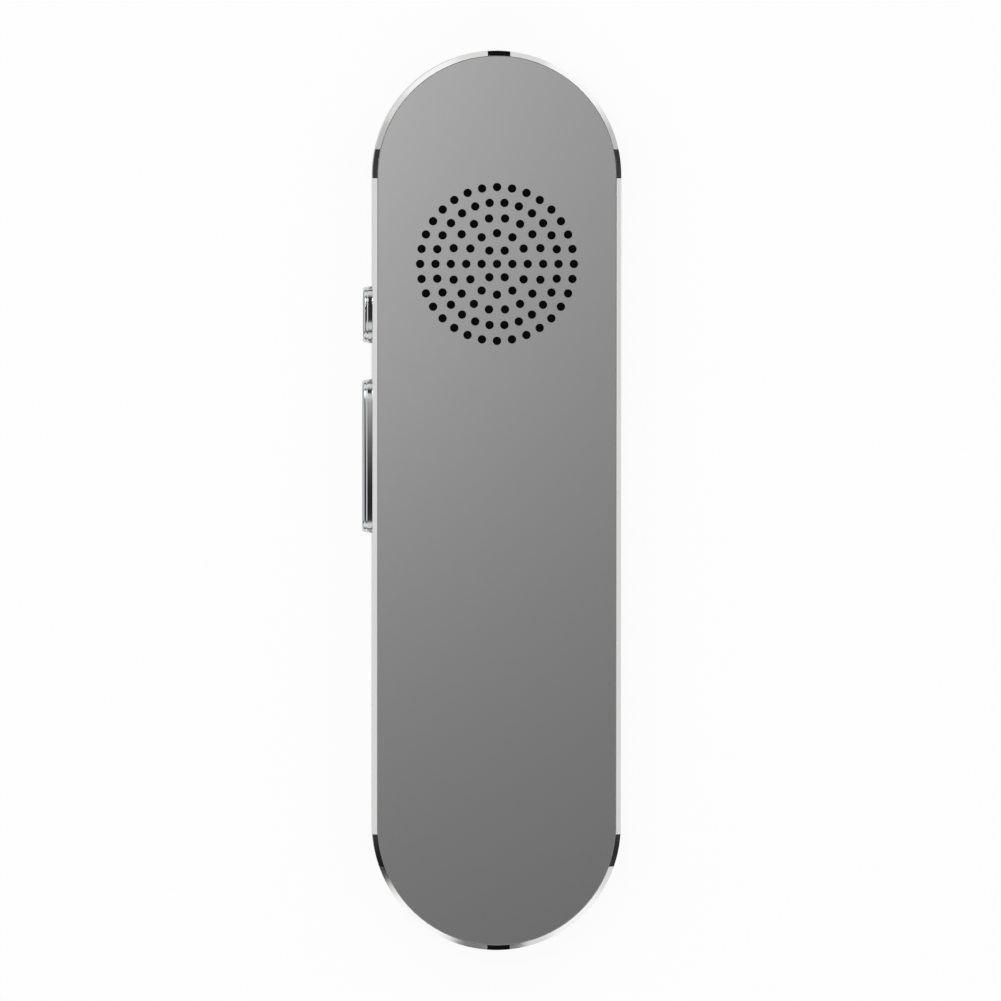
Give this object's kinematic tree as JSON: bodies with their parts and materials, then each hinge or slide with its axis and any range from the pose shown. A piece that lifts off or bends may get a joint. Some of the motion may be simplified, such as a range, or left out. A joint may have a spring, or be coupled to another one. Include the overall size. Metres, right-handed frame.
{
  "type": "handheld translator",
  "caption": "Slim bar-shaped handheld voice translator with round ends, satin metal covers in a polished side frame, a round speaker grille and side keys.",
  "frame": {"origin": "centre of the back cover's outer face, on which the translator lies", "axes": "+Z is the front cover's outward normal, +Y points along the case to the speaker end, +X to the side without keys"},
  "size_m": [0.0396, 0.1374, 0.009],
  "materials": {
    "cover_aluminium": "satin anodised silver grey",
    "frame_aluminium": "polished",
    "key_chrome": "polished plating",
    "insert_black": "moulded, glossy black",
    "insert_grey": "moulded, glossy dark grey",
    "light_guide_clear": "clear moulded polycarbonate",
    "adhesive_black": "black bonding film",
    "mesh_fabric": "fine woven black mesh",
    "gasket_foam": "closed-cell foam",
    "speaker_plastic": "moulded black",
    "basket_metal": "pressed and blackened",
    "speaker_steel": "plated",
    "magnet_nickel": "nickel-plated magnet",
    "coil_copper": "enamelled copper wire",
    "cone_film": "pressed polymer film",
    "surround_rubber": "soft moulded",
    "holder_abs": "moulded",
    "chassis_abs": "moulded, fine texture",
    "board_laminate": "glass laminate with green solder mask",
    "chip_epoxy": "moulded epoxy",
    "can_tinplate": "tin-plated sheet",
    "capacitor_ceramic": "fired brown ceramic",
    "antenna_ceramic": "fired white ceramic",
    "socket_nylon": "moulded, natural",
    "switch_plastic": "moulded black",
    "plunger_plastic": "moulded white",
    "led_resin": "cast resin",
    "battery_pouch": "laminated foil pouch",
    "battery_tape": "double-sided tape",
    "power_wire": "red insulation",
    "signal_wire": "red insulation",
    "flex_polyimide": "amber film",
    "port_steel": "plated sheet",
    "port_plastic": "moulded black",
    "contact_gold": "gold-plated",
    "mic_aluminium": "drawn can",
    "boot_rubber": "moulded",
    "screw_steel": "zinc-plated"
  },
  "bodies": {
    "case": {"front_cover": "cover_aluminium", "back_cover": "cover_aluminium", "side_frame": "frame_aluminium", "top_insert": "insert_black", "bottom_insert": "insert_black", "upper_left_insert": "insert_grey", "upper_right_insert": "insert_grey", "lower_left_insert": "insert_grey", "lower_right_insert": "insert_grey", "light_guide": "light_guide_clear", "front_cover_adhesive": "adhesive_black", "back_cover_adhesive": "adhesive_black", "speaker_mesh": "mesh_fabric", "speaker_gasket": "gasket_foam", "speaker_front_ring": "speaker_plastic", "speaker_basket": "basket_metal", "speaker_yoke": "speaker_steel", "speaker_magnet": "magnet_nickel", "speaker_pole_plate": "speaker_steel", "speaker_surround": "surround_rubber", "speaker_holder": "holder_abs", "speaker_leads": "signal_wire", "inner_chassis": "chassis_abs", "main_board": "board_laminate", "bluetooth_chip": "chip_epoxy", "shield_can": "can_tinplate", "flash_chip": "chip_epoxy", "audio_amplifier": "chip_epoxy", "power_chip": "chip_epoxy", "crystal": "can_tinplate", "board_capacitors": "capacitor_ceramic", "chip_antenna": "antenna_ceramic", "battery_socket": "socket_nylon", "flex_sockets": "socket_nylon", "short_key_switch": "switch_plastic", "long_key_switch": "switch_plastic", "status_led": "led_resin", "battery_cell": "battery_pouch", "protection_board": "board_laminate", "battery_leads": "power_wire", "battery_plug": "socket_nylon", "battery_tape": "battery_tape", "charging_board": "board_laminate", "usb_shell": "port_steel", "usb_insulator": "port_plastic", "usb_contacts": "contact_gold", "microphone": "mic_aluminium", "microphone_boot": "boot_rubber", "microphone_leads": "signal_wire", "flex_cable": "flex_polyimide", "main_board_screws": "screw_steel", "charging_board_screws": "screw_steel"},
    "short_key_body": {"short_key": "key_chrome"},
    "short_plunger_body": {"short_switch_plunger": "plunger_plastic"},
    "long_key_body": {"long_key": "key_chrome"},
    "long_plunger_body": {"long_switch_plunger": "plunger_plastic"},
    "diaphragm": {"speaker_cone": "cone_film", "voice_coil": "coil_copper"}
  },
  "joints": [
    {"name": "short_key_press", "type": "slide", "parent": "case", "child": "short_key_body", "axis": [1, 0, 0], "range_m": [0, 0.0003], "stiffness_N_per_m": 2500, "springref_m": -0.0002},
    {"name": "short_plunger_press", "type": "slide", "parent": "case", "child": "short_plunger_body", "axis": [1, 0, 0], "range_m": [0, 0.0003]},
    {"name": "long_key_press", "type": "slide", "parent": "case", "child": "long_key_body", "axis": [1, 0, 0], "range_m": [0, 0.0003], "stiffness_N_per_m": 2500, "springref_m": -0.0002},
    {"name": "long_plunger_press", "type": "slide", "parent": "case", "child": "long_plunger_body", "axis": [1, 0, 0], "range_m": [0, 0.0003]},
    {"name": "diaphragm_stroke", "type": "slide", "parent": "case", "child": "diaphragm", "axis": [0, 0, 1], "range_m": [-0.0003, 0.0003], "stiffness_N_per_m": 500, "deforming": ["speaker_surround"]}
  ],
  "couplings": [
    {"joint": "short_plunger_press", "follows": "short_key_press", "ratio": 1},
    {"joint": "long_plunger_press", "follows": "long_key_press", "ratio": 1}
  ]
}
